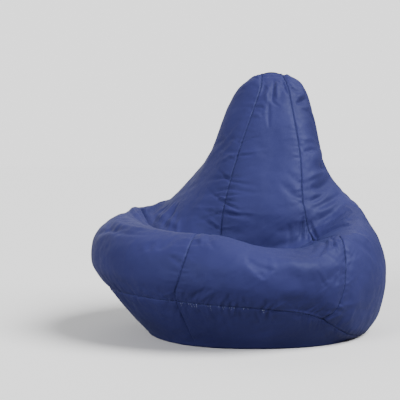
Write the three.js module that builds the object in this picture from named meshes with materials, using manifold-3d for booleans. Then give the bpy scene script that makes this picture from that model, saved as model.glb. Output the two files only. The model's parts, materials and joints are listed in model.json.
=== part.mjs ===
// A high-backed bean bag chair: sewn fabric panels round a liner full of beads, closed by a zip under the base,
// with a webbing loop at the crown to carry it by. Millimetres, +Z up, the sitter faces -Y, the floor is z = 0.
// "Left" is -X, the left of someone who stands in front of the chair.
import * as THREE from "three";
import { mergeVertices } from "three/addons/utils/BufferGeometryUtils.js";
import Module from "manifold-3d";

const wasm = await Module();
wasm.setup();

// ---------------------------------------------------------------- driving dimensions

const COVER_THICKNESS = 1.2; // coated nylon with its seam allowance
const SEAM_GAP = 1.0; // between the edges of two panels that are sewn together
const INNER_STEPS = 24; // facets round the liner and the filling
const LINER_INSET = 16; // from the outside of the cover to the outside of the liner
const LINER_THICKNESS = 1.0;
const FILL_INSET = 24; // from the outside of the cover to the beads

const ZIP_LENGTH = 400; // between the stops
const ZIP_SLOT_WIDTH = 12; // the opening between the base panels that the zip closes
const TAPE_WIDTH = 13;
const TAPE_THICKNESS = 0.6;
const TEETH_WIDTH = 1.5; // one row
const TEETH_HEIGHT = 2.2;
const TEETH_BOTTOM = 1.9; // above the floor
const SLIDER_LENGTH = 14;
const SLIDER_WIDTH = 9;
const SLIDER_PLATE = 1.2;
const SLIDER_NECK = 0.6;
const FIT_GAP = 0.3; // between pieces that touch

const WEBBING_WIDTH = 32;
const WEBBING_THICKNESS = 2;
const HANDLE_LENGTH = 118; // from the hinge line to the end of the loop
const HANDLE_OPEN = 24; // across the inside of the loop at its widest
const PATCH_SIZE = 46;
const STITCHED_LENGTH = 16; // of the loop below the hinge line, where its layers are sewn together
const HANDLE_REST = -5; // degrees from square to the patch, negative towards the chair

// ---------------------------------------------------------------- the shape of the filled bag

// The skin is lofted through rings, from the floor to the crown. Each ring has a centre, and in eight or sixteen
// evenly spaced directions, from the front round by the left, its reach from that centre and its height. The
// seams' angles, where the ring meets the front-left, rear-left, rear-right and front-right seams, are in degrees
// from the front, round by the left.
const RINGS = {
  floor: {
    centre: [-20, -10],
    reach: [320, 345, 340, 320, 310, 304, 318, 334],
    height: [0, 0, 0, 0, 0, 0, 0, 0],
    seams: [35, 143, 215, 326],
  },
  hem: {
    centre: [-20, -10],
    reach: [420, 455, 462, 425, 395, 360, 346, 372],
    height: [136, 148, 152, 152, 146, 128, 104, 82, 62, 42, 26, 12, 5, 5, 34, 106],
    seams: [35, 143, 215, 332],
  },
  skirt: {
    centre: [-20, -10],
    reach: [438, 474, 500, 462, 430, 402, 390, 396],
    height: [166, 184, 184, 158, 124, 84, 44, 94],
    seams: [34, 143, 216, 328],
  },
  belly: {
    centre: [-20, -10],
    reach: [446, 490, 526, 486, 446, 430, 422, 408],
    height: [205, 220, 230, 218, 200, 186, 178, 168],
    seams: [32, 143, 217, 324],
  },
  flank: {
    centre: [-20, -10],
    reach: [428, 470, 512, 482, 446, 436, 405, 388],
    height: [272, 294, 314, 304, 304, 296, 280, 262],
    seams: [30.5, 142, 218, 319],
  },
  crest: {
    centre: [-20, -10],
    reach: [335, 390, 434, 450, 440, 428, 356, 342],
    height: [311, 346, 351, 361, 371, 369, 368, 386, 400, 401, 394, 372, 347, 334, 326, 300],
    seams: [32, 140, 220, 314],
  },
  crease: {
    centre: [5, 110],
    reach: [145, 205, 348, 352, 330, 326, 276, 190],
    height: [240, 258, 330, 416, 476, 456, 400, 284],
    seams: [45, 138, 222, 308],
  },
  lumbar: {
    centre: [12, 170],
    reach: [166, 198, 250, 284, 268, 262, 232, 196],
    height: [385, 392, 424, 482, 540, 515, 466, 392],
    seams: [43, 138, 222, 318],
  },
  shoulder: {
    centre: [35, 240],
    reach: [142, 170, 182, 190, 190, 188, 176, 172],
    height: [556, 560, 568, 600, 645, 612, 580, 560],
    seams: [40, 144, 216, 323],
  },
  neck: {
    centre: [50, 280],
    reach: [106, 124, 142, 144, 142, 146, 138, 122],
    height: [698, 702, 706, 730, 755, 735, 712, 702],
    seams: [35, 148, 212, 325],
  },
  head: {
    centre: [58, 305],
    reach: [68, 84, 104, 92, 80, 92, 100, 84],
    height: [782, 784, 786, 796, 804, 798, 788, 784],
    seams: [35, 148, 212, 325],
  },
};
const CROWN_SEAM = { centre: [54, 312, 832], length: 66 }; // runs left to right

const RING_LIST = Object.values(RINGS);
const ROW = Object.fromEntries(Object.keys(RINGS).map((name, i) => [name, i]));
const CROWN_ROW = RING_LIST.length;

// Catmull-Rom through evenly spaced values that repeat after the last one.
function around(values, angle) {
  const n = values.length;
  const at = (((angle / 360) % 1) + 1) % 1 * n;
  const i = Math.floor(at);
  const t = at - i;
  const [a, b, c, d] = [-1, 0, 1, 2].map((k) => values[(i + k + n) % n]);
  return b + 0.5 * t * (c - a + t * (2 * a - 5 * b + 4 * c - d + t * (3 * (b - c) + d - a)));
}

// u runs round the body and counts seams: 0 to 1 is the front strip, from the front-right seam to the front-left
// one, 1 to 2 the left strip, 2 to 3 the rear strip and 3 to 4 the right strip.
function angleAt(seams, u) {
  const turns = Math.floor(u / 4);
  const stops = [seams[3] - 360, seams[0], seams[1], seams[2], seams[3]];
  const within = u - 4 * turns;
  const strip = Math.min(3, Math.floor(within));
  return THREE.MathUtils.lerp(stops[strip], stops[strip + 1], within - strip) + 360 * turns;
}

function ringPoint(ring, u) {
  const angle = angleAt(ring.seams, u);
  const reach = around(ring.reach, angle);
  const a = THREE.MathUtils.degToRad(angle);
  return new THREE.Vector3(
    ring.centre[0] - reach * Math.sin(a),
    ring.centre[1] - reach * Math.cos(a),
    around(ring.height, angle),
  );
}

// The front and rear strips close on the crown seam, and each side strip closes on one of its ends.
function crownPoint(u) {
  const [x, y, z] = CROWN_SEAM.centre;
  const within = ((u % 4) + 4) % 4;
  const along = within < 1 ? within : within < 2 ? 1 : within < 3 ? 3 - within : 0;
  return new THREE.Vector3(x + CROWN_SEAM.length * (0.5 - along), y, z);
}

const columns = new Map();
function column(u) {
  if (!columns.has(u)) {
    const points = RING_LIST.map((ring) => ringPoint(ring, u));
    columns.set(u, new THREE.CatmullRomCurve3([...points, crownPoint(u)], false, "centripetal"));
  }
  return columns.get(u);
}

const HUB = new THREE.Vector3(...RINGS.floor.centre, 0); // the middle of the base, where its seam passes

// A point of the bag's outside. v counts rings up from the floor ring at 0, and -1 is the hub.
function skin(u, v) {
  if (v < 0) return HUB.clone().lerp(ringPoint(RINGS.floor, u), 1 + v);
  const p = column(u).getPoint(v / CROWN_ROW);
  p.z = Math.max(0, p.z);
  return p;
}

const STEP = 1e-3;
function normal(u, v) {
  if (v <= 0) return new THREE.Vector3(0, 0, -1);
  const low = Math.max(0, v - STEP);
  const high = Math.min(CROWN_ROW - 0.02, v + STEP);
  const alongU = skin(u + STEP, Math.min(v, high)).sub(skin(u - STEP, Math.min(v, high)));
  const alongV = skin(u, high).sub(skin(u, low));
  return alongV.cross(alongU).normalize();
}

// ---------------------------------------------------------------- solids from grids

function geometryOf(points, triangles) {
  const geometry = new THREE.BufferGeometry();
  geometry.setAttribute("position", new THREE.Float32BufferAttribute(points.flatMap((p) => p.toArray()), 3));
  geometry.setIndex(triangles);
  return geometry;
}

// Moves a line of edge points towards its neighbour line, square to itself, by half the seam gap.
function drawIn(edge, next) {
  const steps = edge.map((p, i) => {
    const along = edge[Math.min(i + 1, edge.length - 1)].clone().sub(edge[Math.max(i - 1, 0)]).normalize();
    const step = next[i].clone().sub(p);
    return step.addScaledVector(along, -step.dot(along)).setLength(SEAM_GAP / 2);
  });
  edge.forEach((p, i) => p.add(steps[i]));
}

// Draws in the first and the last lines of a grid of points.
function drawInEnds(lines) {
  drawIn(lines[0], lines[1]);
  drawIn(lines.at(-1), lines.at(-2));
}

function spread(from, to, steps) {
  return Array.from({ length: steps + 1 }, (_, i) => from + ((to - from) * i) / steps);
}

// A sheet that follows the skin between two columns and two rows: its outside is lift above the skin (below,
// if lift is negative), it is thickness deep, and its edges are drawn in by half the seam gap.
function panel(us, vs, lift = 0, thickness = COVER_THICKNESS) {
  const [m, n] = [us.length, vs.length];
  const normals = us.map((u) => vs.map((v) => normal(u, v)));
  const outer = us.map((u, i) => vs.map((v, j) => skin(u, v).addScaledVector(normals[i][j], lift)));
  drawInEnds(outer);
  drawInEnds(vs.map((_, j) => outer.map((row) => row[j])));
  const inner = outer.map((row, i) => row.map((p, j) => p.clone().addScaledVector(normals[i][j], -thickness)));
  const points = [...outer.flat(), ...inner.flat()];
  const out = (i, j) => i * n + j;
  const inn = (i, j) => m * n + i * n + j;
  const triangles = [];
  const quad = (a, b, c, d) => triangles.push(a, b, c, a, c, d);
  for (let i = 0; i + 1 < m; i++) {
    for (let j = 0; j + 1 < n; j++) {
      quad(out(i, j), out(i, j + 1), out(i + 1, j + 1), out(i + 1, j));
      quad(inn(i, j), inn(i + 1, j), inn(i + 1, j + 1), inn(i, j + 1));
    }
    quad(out(i, 0), out(i + 1, 0), inn(i + 1, 0), inn(i, 0));
    quad(out(i + 1, n - 1), out(i, n - 1), inn(i, n - 1), inn(i + 1, n - 1));
  }
  for (let j = 0; j + 1 < n; j++) {
    quad(out(0, j + 1), out(0, j), inn(0, j), inn(0, j + 1));
    quad(out(m - 1, j), out(m - 1, j + 1), inn(m - 1, j + 1), inn(m - 1, j));
  }
  return geometryOf(points, triangles);
}

// The whole bag as one closed surface, drawn in by a constant distance. The steps fall on the rings.
function closedSkin(inset) {
  const us = spread(0, 4, INNER_STEPS).slice(0, -1);
  const vs = spread(0, CROWN_ROW - 0.5, 2 * CROWN_ROW - 1);
  const n = vs.length;
  const points = us.flatMap((u) => vs.map((v) => skin(u, v).addScaledVector(normal(u, v), -inset)));
  points.forEach((p) => {
    p.z = Math.max(inset, p.z);
  });
  const bottom = points.push(HUB.clone().setZ(inset)) - 1;
  const top = points.push(new THREE.Vector3(...CROWN_SEAM.centre).setZ(CROWN_SEAM.centre[2] - inset - 8)) - 1;
  const triangles = [];
  us.forEach((_, i) => {
    const [a, b] = [i * n, ((i + 1) % us.length) * n];
    for (let j = 0; j + 1 < n; j++) triangles.push(a + j, a + j + 1, b + j + 1, a + j, b + j + 1, b + j);
    triangles.push(bottom, a, b);
    triangles.push(top, b + n - 1, a + n - 1);
  });
  return geometryOf(points, triangles);
}

// ---------------------------------------------------------------- booleans

function solid(geometry) {
  const bare = new THREE.BufferGeometry();
  bare.setAttribute("position", geometry.getAttribute("position"));
  bare.setIndex(geometry.index);
  const merged = mergeVertices(bare, 1e-3);
  return new wasm.Manifold(
    new wasm.Mesh({
      numProp: 3,
      vertProperties: merged.attributes.position.array,
      triVerts: new Uint32Array(merged.index.array),
    }),
  );
}

function geometry(made) {
  const mesh = made.getMesh();
  const g = new THREE.BufferGeometry();
  g.setAttribute("position", new THREE.BufferAttribute(mesh.vertProperties, 3));
  g.setIndex(new THREE.BufferAttribute(mesh.triVerts, 1));
  return g;
}

// A box from its low corner and its sizes.
function block(x, y, z, width, depth, height) {
  return new THREE.BoxGeometry(width, depth, height).translate(x + width / 2, y + depth / 2, z + height / 2);
}

// ---------------------------------------------------------------- materials

const nylon = new THREE.MeshStandardMaterial({ color: 0x3a4684, roughness: 0.5, metalness: 0 });
const linerCloth = new THREE.MeshStandardMaterial({ color: 0xe8e6df, roughness: 0.9, metalness: 0 });
const beads = new THREE.MeshStandardMaterial({ color: 0xf7f7f5, roughness: 0.8, metalness: 0 });
const webbing = new THREE.MeshStandardMaterial({ color: 0x2a3368, roughness: 0.75, metalness: 0 });
const zipTape = new THREE.MeshStandardMaterial({ color: 0x20264c, roughness: 0.85, metalness: 0 });
const zipCoil = new THREE.MeshStandardMaterial({ color: 0x1b2040, roughness: 0.45, metalness: 0 });
const zinc = new THREE.MeshStandardMaterial({ color: 0x8d9094, roughness: 0.35, metalness: 1 });
const labelSatin = new THREE.MeshStandardMaterial({ color: 0xf2f2ee, roughness: 0.6, metalness: 0 });

function mesh(name, shape, material) {
  const made = new THREE.Mesh(shape, material);
  made.name = name;
  return made;
}

// ---------------------------------------------------------------- the cover

const FRONT = 0; // where each strip starts
const LEFT = 1;
const REAR = 2;
const RIGHT = 3;
const STEPS = 10; // facets across a strip
const ROWS_PER_RING = 3;
// A side strip stops short of the crown, where it would have no width.
const SIDE_TOP = CROWN_ROW - 0.06;

function strip(start, low, high) {
  const rows = Math.round((high - low) * ROWS_PER_RING);
  return panel(spread(start, start + 1, STEPS), spread(low, high, rows));
}

function coverPanels() {
  return [
    mesh("seat_panel", strip(FRONT, ROW.hem, ROW.crease), nylon),
    mesh("back_panel", strip(FRONT, ROW.crease, CROWN_ROW), nylon),
    mesh("side_panel_left", strip(LEFT, ROW.hem, SIDE_TOP), nylon),
    mesh("side_panel_right", strip(RIGHT, ROW.hem, SIDE_TOP), nylon),
    mesh("rear_panel", strip(REAR, ROW.hem, CROWN_ROW), nylon),
  ];
}

// ---------------------------------------------------------------- the base and its zip

// The base is two halves. Their seam runs straight from the foot of the front-left seam, through the hub, to the
// foot of the rear-right one, and the zip is set in its flat middle.
const seamFoot = ringPoint(RINGS.floor, LEFT).sub(HUB);
const ZIP_ANGLE = Math.atan2(seamFoot.y, seamFoot.x);

// Half of the base, from one column round to another, with rows from near the hub out to the hem.
function baseHalf(from, to) {
  const us = spread(from, to, 2 * STEPS);
  const vs = [-0.5, 0, 0.35, 0.7, 1];
  const [m, n] = [us.length, vs.length];
  const outer = us.map((u) => vs.map((v) => skin(u, v)));
  const hub = HUB.clone().add(outer[m >> 1][0].clone().sub(HUB).setLength(SEAM_GAP / 2));
  drawInEnds(outer);
  drawIn(outer.map((row) => row[n - 1]), outer.map((row) => row[n - 2]));
  const deeper = (p, u, v) => p.clone().addScaledVector(normal(u, v), -COVER_THICKNESS);
  const inner = outer.map((row, i) => row.map((p, j) => deeper(p, us[i], vs[j])));
  const count = m * n + 1;
  const points = [...outer.flat(), hub, ...inner.flat(), hub.clone().setZ(COVER_THICKNESS)];
  const triangles = [];
  const quad = (a, b, c, d) => triangles.push(a, b, c, a, c, d);
  for (let i = 0; i + 1 < m; i++) {
    const [a, b] = [i * n, (i + 1) * n];
    triangles.push(count - 1, a, b, 2 * count - 1, count + b, count + a);
    for (let j = 0; j + 1 < n; j++) {
      quad(a + j, a + j + 1, b + j + 1, b + j);
      quad(count + a + j, count + b + j, count + b + j + 1, count + a + j + 1);
    }
    quad(b + n - 1, a + n - 1, count + a + n - 1, count + b + n - 1);
  }
  const seam = (first) => [count - 1, ...vs.map((_, j) => first + j)];
  const wall = (line) => line.slice(1).forEach((p, k) => quad(p, line[k], count + line[k], count + p));
  wall(seam(0));
  wall(seam((m - 1) * n).reverse());
  return geometryOf(points, triangles);
}

// The zip's own frame: x along the zip towards the front-left end, y towards the front half, the origin at the
// hub.
function zipFrame() {
  const frame = new THREE.Group();
  frame.position.copy(HUB);
  frame.rotation.z = ZIP_ANGLE;
  frame.updateMatrix();
  return frame;
}

function basePanels() {
  const slot = solid(block(-ZIP_LENGTH / 2, -ZIP_SLOT_WIDTH / 2, -5, ZIP_LENGTH, ZIP_SLOT_WIDTH, 10));
  const cutter = slot.transform(zipFrame().matrix.toArray());
  const half = (from, to) => geometry(solid(baseHalf(from, to)).subtract(cutter));
  return [
    mesh("base_panel_front", half(RIGHT, RIGHT + 2), nylon),
    mesh("base_panel_rear", half(LEFT, LEFT + 2), nylon),
  ];
}

// Two plates joined by a thin neck that runs between the rows of teeth. A safety slider has no pull tab.
function sliderShape() {
  const half = SLIDER_WIDTH / 2;
  const low = TEETH_BOTTOM - FIT_GAP;
  const high = TEETH_BOTTOM + TEETH_HEIGHT + FIT_GAP;
  const neck = SLIDER_NECK / 2;
  const outline = new THREE.Shape();
  outline.moveTo(-half, low - SLIDER_PLATE);
  outline.lineTo(half, low - SLIDER_PLATE);
  outline.lineTo(half, low);
  outline.lineTo(neck, low);
  outline.lineTo(neck, high);
  outline.lineTo(half, high);
  outline.lineTo(half, high + SLIDER_PLATE);
  outline.lineTo(-half, high + SLIDER_PLATE);
  outline.lineTo(-half, high);
  outline.lineTo(-neck, high);
  outline.lineTo(-neck, low);
  outline.lineTo(-half, low);
  outline.closePath();
  return new THREE.ExtrudeGeometry(outline, { depth: SLIDER_LENGTH, bevelEnabled: false })
    .rotateX(Math.PI / 2)
    .rotateZ(Math.PI / 2);
}

function zip() {
  const frame = zipFrame();
  const teethInside = SLIDER_NECK / 2 + FIT_GAP;
  const tapeInside = teethInside + TEETH_WIDTH + FIT_GAP;
  const tapeBottom = TEETH_BOTTOM + (TEETH_HEIGHT - TAPE_THICKNESS) / 2;
  const start = -ZIP_LENGTH / 2;
  for (const [name, side] of [["front", 1], ["rear", -1]]) {
    const tape = block(start - 12, tapeInside, tapeBottom, ZIP_LENGTH + 24, TAPE_WIDTH, TAPE_THICKNESS);
    const teeth = block(start + 6, teethInside, TEETH_BOTTOM, ZIP_LENGTH - 12, TEETH_WIDTH, TEETH_HEIGHT);
    tape.translate(0, side > 0 ? 0 : -TAPE_WIDTH - 2 * tapeInside, 0);
    teeth.translate(0, side > 0 ? 0 : -TEETH_WIDTH - 2 * teethInside, 0);
    frame.add(mesh(`zip_tape_${name}`, tape, zipTape), mesh(`zip_teeth_${name}`, teeth, zipCoil));
  }
  const stop = (name, x) =>
    mesh(name, block(x, -2 * TEETH_WIDTH / 2, TEETH_BOTTOM, 4, 2 * TEETH_WIDTH, TEETH_HEIGHT), zinc);
  frame.add(stop("zip_stop_closed", start + 1), stop("zip_stop_open", -start - 5));
  const slider = mesh("zip_slider", sliderShape(), zinc);
  slider.position.x = start + 6;
  frame.add(slider);
  return frame;
}

// ---------------------------------------------------------------- liner, filling, handle, label

function inside() {
  const shell = solid(closedSkin(LINER_INSET)).subtract(
    solid(closedSkin(LINER_INSET + LINER_THICKNESS)),
  );
  const big = 2000;
  const split = RINGS.lumbar.centre[1];
  const front = shell.subtract(solid(block(-big, split - SEAM_GAP / 2, -big, 2 * big, big, 2 * big)));
  const rear = shell.subtract(solid(block(-big, split + SEAM_GAP / 2 - big, -big, 2 * big, big, 2 * big)));
  return [
    mesh("liner_front", geometry(front), linerCloth),
    mesh("liner_rear", geometry(rear), linerCloth),
    mesh("bead_fill", closedSkin(FILL_INSET), beads),
  ];
}

// The handle is webbing folded double. Its sewn ends are a tab on a patch, high on the middle of the rear panel,
// and below the tab the loop hangs free.
const HANDLE_U = REAR + 0.5;
const HANDLE_V = ROW.neck + 0.4;
const HANDLE_LAYERS = 2 * WEBBING_THICKNESS + 0.6;
const TAB_LIFT = FIT_GAP + COVER_THICKNESS + FIT_GAP;
const PER_U = skin(HANDLE_U + STEP, HANDLE_V).distanceTo(skin(HANDLE_U - STEP, HANDLE_V)) / (2 * STEP);
const PER_V = skin(HANDLE_U, HANDLE_V + STEP).distanceTo(skin(HANDLE_U, HANDLE_V - STEP)) / (2 * STEP);

// A sheet on the rear panel, placed in millimetres across and up from the hinge line.
function badge(halfWidth, low, high, lift, thickness) {
  const us = spread(HANDLE_U - halfWidth / PER_U, HANDLE_U + halfWidth / PER_U, 4);
  const vs = spread(HANDLE_V + low / PER_V, HANDLE_V + high / PER_V, 4);
  return panel(us, vs, lift + thickness, thickness);
}

// The loop seen along the webbing's width: x is down from the hinge line, y away from the chair. One side of
// the outline, from the root at x = from to the far end, and its mirror image.
function halfLoop(from, root, radius) {
  const end = HANDLE_LENGTH - HANDLE_OPEN / 2 - WEBBING_THICKNESS;
  const side = new THREE.Path();
  side.moveTo(from, root);
  side.bezierCurveTo(from + 0.4 * end, root, 0.55 * end, radius, end, radius);
  const flank = side.getPoints(6);
  const tip = spread(0, 90, 5).slice(1, -1).map((degrees) => {
    const a = THREE.MathUtils.degToRad(degrees);
    return new THREE.Vector2(end + radius * Math.sin(a), radius * Math.cos(a));
  });
  return [...flank, ...tip];
}

// Closes a half outline with its mirror image: start and end are the points on the axis.
function ringOf(half, start, end) {
  const mirrored = half.map((p) => new THREE.Vector2(p.x, -p.y)).reverse();
  return [new THREE.Vector2(start, 0), ...half, new THREE.Vector2(end, 0), ...mirrored];
}

function loopShape() {
  const stem = HANDLE_LAYERS / 2;
  const belly = HANDLE_OPEN / 2;
  const root = [60, 30].map((degrees) => {
    const a = THREE.MathUtils.degToRad(degrees);
    return new THREE.Vector2(-stem * Math.sin(a), stem * Math.cos(a));
  });
  const side = [...root, ...halfLoop(0, stem, belly + WEBBING_THICKNESS)];
  const outside = ringOf(side, -stem, HANDLE_LENGTH);
  const hole = ringOf(
    halfLoop(STITCHED_LENGTH, 0.3, belly),
    STITCHED_LENGTH - 1,
    HANDLE_LENGTH - WEBBING_THICKNESS,
  );
  const shape = new THREE.Shape(outside);
  shape.holes.push(new THREE.Path(hole.reverse()));
  return shape;
}

function handle() {
  const out = normal(HANDLE_U, HANDLE_V).setX(0).normalize();
  const hinge = skin(HANDLE_U, HANDLE_V).addScaledVector(out, TAB_LIFT + 0.8 + HANDLE_LAYERS / 2);
  const across = new THREE.Vector3(1, 0, 0);
  const up = out.clone().cross(across).negate();
  const loop = new THREE.ExtrudeGeometry(loopShape(), { depth: WEBBING_WIDTH, bevelEnabled: false });
  loop.translate(0, 0, -WEBBING_WIDTH / 2);
  loop.applyMatrix4(new THREE.Matrix4().makeBasis(up.clone().negate(), out, across));
  const piece = mesh("carry_handle", loop, webbing);
  piece.position.copy(hinge);
  piece.rotation.x = THREE.MathUtils.degToRad(HANDLE_REST);
  return [
    mesh("handle_patch", badge(PATCH_SIZE / 2, -10, PATCH_SIZE - 10, FIT_GAP, COVER_THICKNESS), nylon),
    mesh("handle_tab", badge(WEBBING_WIDTH / 2, HANDLE_LAYERS / 2 + 1, 24, TAB_LIFT, HANDLE_LAYERS), webbing),
    piece,
  ];
}

// A blank care label, caught in the rear-left seam and lying on the rear panel.
function careLabel() {
  return mesh("care_label", panel(spread(REAR + 0.02, REAR + 0.16, 3), spread(3.4, 3.95, 3), 1, 0.5), labelSatin);
}

const chair = new THREE.Group();
chair.add(...coverPanels(), ...basePanels(), zip(), ...inside(), ...handle(), careLabel());

// The origin is on the floor, under the middle of the bounding box.
const middle = new THREE.Box3().setFromObject(chair).getCenter(new THREE.Vector3());
chair.position.set(-middle.x, -middle.y, 0);

export default chair;
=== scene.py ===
"""A high-backed bean bag chair: sewn nylon panels round a bag of beads, on a plain studio floor.

Metres, +Z up, the sitter faces -Y, "left" is -X. The cover is lofted, puffed up by a cloth simulation, and then
cut into its sewn panels, which get their seams, puckers and folds. A place on the cover is (u, v): u runs round
the body, from 0 at the front-right seam by 1, the front-left one, 2, the rear-left one and 3, the rear-right one,
back to 4, and v runs up, from 0 at the edge of the floor contact by the rings below to the crown seam.
"""
import json
import math

import bmesh
import bpy
import numpy as np
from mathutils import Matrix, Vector


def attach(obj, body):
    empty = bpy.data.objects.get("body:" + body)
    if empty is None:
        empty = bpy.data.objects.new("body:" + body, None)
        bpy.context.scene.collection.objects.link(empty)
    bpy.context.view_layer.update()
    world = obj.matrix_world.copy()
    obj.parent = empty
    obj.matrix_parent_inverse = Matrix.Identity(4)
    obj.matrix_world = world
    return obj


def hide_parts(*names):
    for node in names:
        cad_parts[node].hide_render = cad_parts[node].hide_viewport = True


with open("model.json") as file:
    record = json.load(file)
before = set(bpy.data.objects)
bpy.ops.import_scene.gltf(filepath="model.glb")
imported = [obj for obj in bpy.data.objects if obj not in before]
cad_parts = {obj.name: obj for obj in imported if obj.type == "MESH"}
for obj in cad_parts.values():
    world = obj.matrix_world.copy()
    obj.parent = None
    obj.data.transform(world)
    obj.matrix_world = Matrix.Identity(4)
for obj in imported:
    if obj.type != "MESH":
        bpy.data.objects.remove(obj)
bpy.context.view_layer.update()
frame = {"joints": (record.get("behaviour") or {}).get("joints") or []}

ORIGIN = np.array([0.0722968, -0.0139216, 0.0])  # of the rings below, in the row's frame

# Name: centre, then reach and height in evenly spaced directions from the front round by the left (mm), then the
# angles of the front-left, rear-left, rear-right and front-right seams in degrees.
RINGS = {
    "floor": ([-20, -10], [320, 345, 340, 320, 310, 304, 318, 334], [0] * 8, [35, 143, 215, 326]),
    "hem": (
        [-20, -10],
        [420, 455, 462, 425, 395, 360, 346, 372],
        [136, 148, 152, 152, 146, 128, 104, 82, 62, 42, 26, 12, 5, 5, 34, 106],
        [35, 143, 215, 332],
    ),
    "skirt": (
        [-20, -10],
        [438, 474, 500, 462, 430, 402, 390, 396],
        [166, 184, 184, 158, 124, 84, 44, 94],
        [34, 143, 216, 328],
    ),
    "belly": (
        [-20, -10],
        [446, 490, 526, 486, 446, 430, 422, 408],
        [205, 220, 230, 218, 200, 186, 178, 168],
        [32, 143, 217, 324],
    ),
    "flank": (
        [-20, -10],
        [428, 470, 512, 482, 446, 436, 405, 388],
        [272, 294, 314, 304, 304, 296, 280, 262],
        [30.5, 142, 218, 319],
    ),
    "crest": (
        [-20, -10],
        [335, 390, 434, 450, 440, 428, 356, 342],
        [311, 346, 351, 361, 371, 369, 368, 386, 400, 401, 394, 372, 347, 334, 326, 300],
        [32, 140, 220, 314],
    ),
    "crease": (
        [5, 110],
        [145, 205, 348, 352, 330, 326, 276, 190],
        [240, 258, 330, 416, 476, 456, 400, 284],
        [45, 138, 222, 308],
    ),
    "lumbar": (
        [12, 170],
        [166, 198, 250, 284, 268, 262, 232, 196],
        [385, 392, 424, 482, 540, 515, 466, 392],
        [43, 138, 222, 318],
    ),
    "shoulder": (
        [35, 240],
        [142, 170, 182, 190, 190, 188, 176, 172],
        [556, 560, 568, 600, 645, 612, 580, 560],
        [40, 144, 216, 323],
    ),
    "neck": (
        [50, 280],
        [106, 124, 142, 144, 142, 146, 138, 122],
        [698, 702, 706, 730, 755, 735, 712, 702],
        [35, 148, 212, 325],
    ),
    "head": (
        [58, 305],
        [68, 84, 104, 92, 80, 92, 100, 84],
        [782, 784, 786, 796, 804, 798, 788, 784],
        [35, 148, 212, 325],
    ),
}
CROWN, CROWN_LENGTH = (54, 312, 832), 66
TOP = len(RINGS)
HEM, CREASE = 1, 6


# ---------------------------------------------------------------- the loft


def catmull_rom(a, b, c, d, t):
    """The curve from b to c at t, where a and d are the values on either side of them."""
    return b + 0.5 * t * (c - a + t * (2 * a - 5 * b + 4 * c - d + t * (3 * (b - c) + d - a)))


def around(values, angle):
    """Catmull-Rom through evenly spaced values that repeat after the last one."""
    v = np.array(values, float)
    at = (angle / 360 % 1) * len(v)
    i = np.floor(at).astype(int)
    t = at - i
    return catmull_rom(*(v[(i + k) % len(v)] for k in (-1, 0, 1, 2)), t)


def ring_points(ring, u):
    centre, reach, height, seams = ring
    angle = np.interp(u % 4, [0, 1, 2, 3, 4], [seams[3] - 360, *seams])
    a = np.radians(angle)
    r = around(reach, angle)
    return np.stack([centre[0] - r * np.sin(a), centre[1] - r * np.cos(a), around(height, angle)], -1)


def crown_points(u):
    along = np.interp(u % 4, [0, 1, 2, 3, 4], [0, 1, 1, 0, 0])
    x = CROWN[0] + CROWN_LENGTH * (0.5 - along)
    return np.stack([x, np.full_like(x, CROWN[1]), np.full_like(x, CROWN[2])], -1)


def loft(u, v):
    """The plain skin at every pair of u and v, as an array [u, v, xyz] in metres."""
    rings = [ring_points(r, u) for r in RINGS.values()] + [crown_points(u)]
    k = np.stack([2 * rings[0] - rings[1], *rings, 2 * rings[-1] - rings[-2]], 1)
    up = np.maximum(v, 0)
    i = np.clip(np.floor(up).astype(int), 0, TOP - 1)
    t = (up - i)[None, :, None]
    p0, p1, p2, p3 = (k[:, i + n] for n in range(4))
    d0, d1, d2 = (
        np.maximum(np.linalg.norm(a - b, axis=-1, keepdims=True), 1e-6) ** 0.5
        for a, b in ((p0, p1), (p1, p2), (p2, p3))
    )
    m1 = ((p1 - p0) / d0 - (p2 - p0) / (d0 + d1) + (p2 - p1) / d1) * d1
    m2 = ((p2 - p1) / d1 - (p3 - p1) / (d1 + d2) + (p3 - p2) / d2) * d1
    p = p1 + t * m1 + t**2 * (3 * (p2 - p1) - 2 * m1 - m2) + t**3 * (2 * (p1 - p2) + m1 + m2)
    p[..., 2] = np.maximum(p[..., 2], 0)
    hub = np.array([-20.0, -10.0, 0.0])
    inward = np.minimum(v, 0)[None, :, None]
    p = hub + (p - hub) * (1 + inward)
    return p / 1000 + ORIGIN


def length_up_to(p):
    """Arc length up to each point of a line, in metres, or on the average of several lines."""
    steps = np.linalg.norm(np.diff(p, axis=-2), axis=-1)
    return np.concatenate([[0], np.cumsum(steps if steps.ndim == 1 else steps.mean(0))])


def even_rows(low, high, spacing):
    """Values of v whose rows lie about the spacing apart, on the average round the body."""
    fine = np.linspace(low, high, 600)
    length = length_up_to(loft(np.linspace(0, 4, 33)[:-1], fine))
    count = max(2, round(length[-1] / spacing))
    return np.interp(np.linspace(0, length[-1], count + 1), length, fine)


# ---------------------------------------------------------------- the puffed-up cover


def quads(m, n, wrap=False):
    i, j = np.meshgrid(np.arange(m if wrap else m - 1), np.arange(n - 1), indexing="ij")
    a, b = (i * n + j).ravel(), ((i + 1) % m * n + j).ravel()
    return np.stack([a, a + 1, b + 1, b], 1)


def unit(vectors):
    return vectors / np.maximum(np.linalg.norm(vectors, axis=-1, keepdims=True), 1e-9)


def linked(name, data):
    """A new object of the scene that holds the data."""
    ob = bpy.data.objects.new(name, data)
    bpy.context.scene.collection.objects.link(ob)
    return ob


def from_bmesh(name, bm):
    me = bpy.data.meshes.new(name)
    bm.to_mesh(me)
    bm.free()
    return linked(name, me)


def mesh_object(name, points, faces):
    me = bpy.data.meshes.new(name)
    me.from_pydata(np.asarray(points).reshape(-1, 3).tolist(), [], [list(f) for f in faces])
    me.polygons.foreach_set("use_smooth", [True] * len(me.polygons))
    return linked(name, me)


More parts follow.
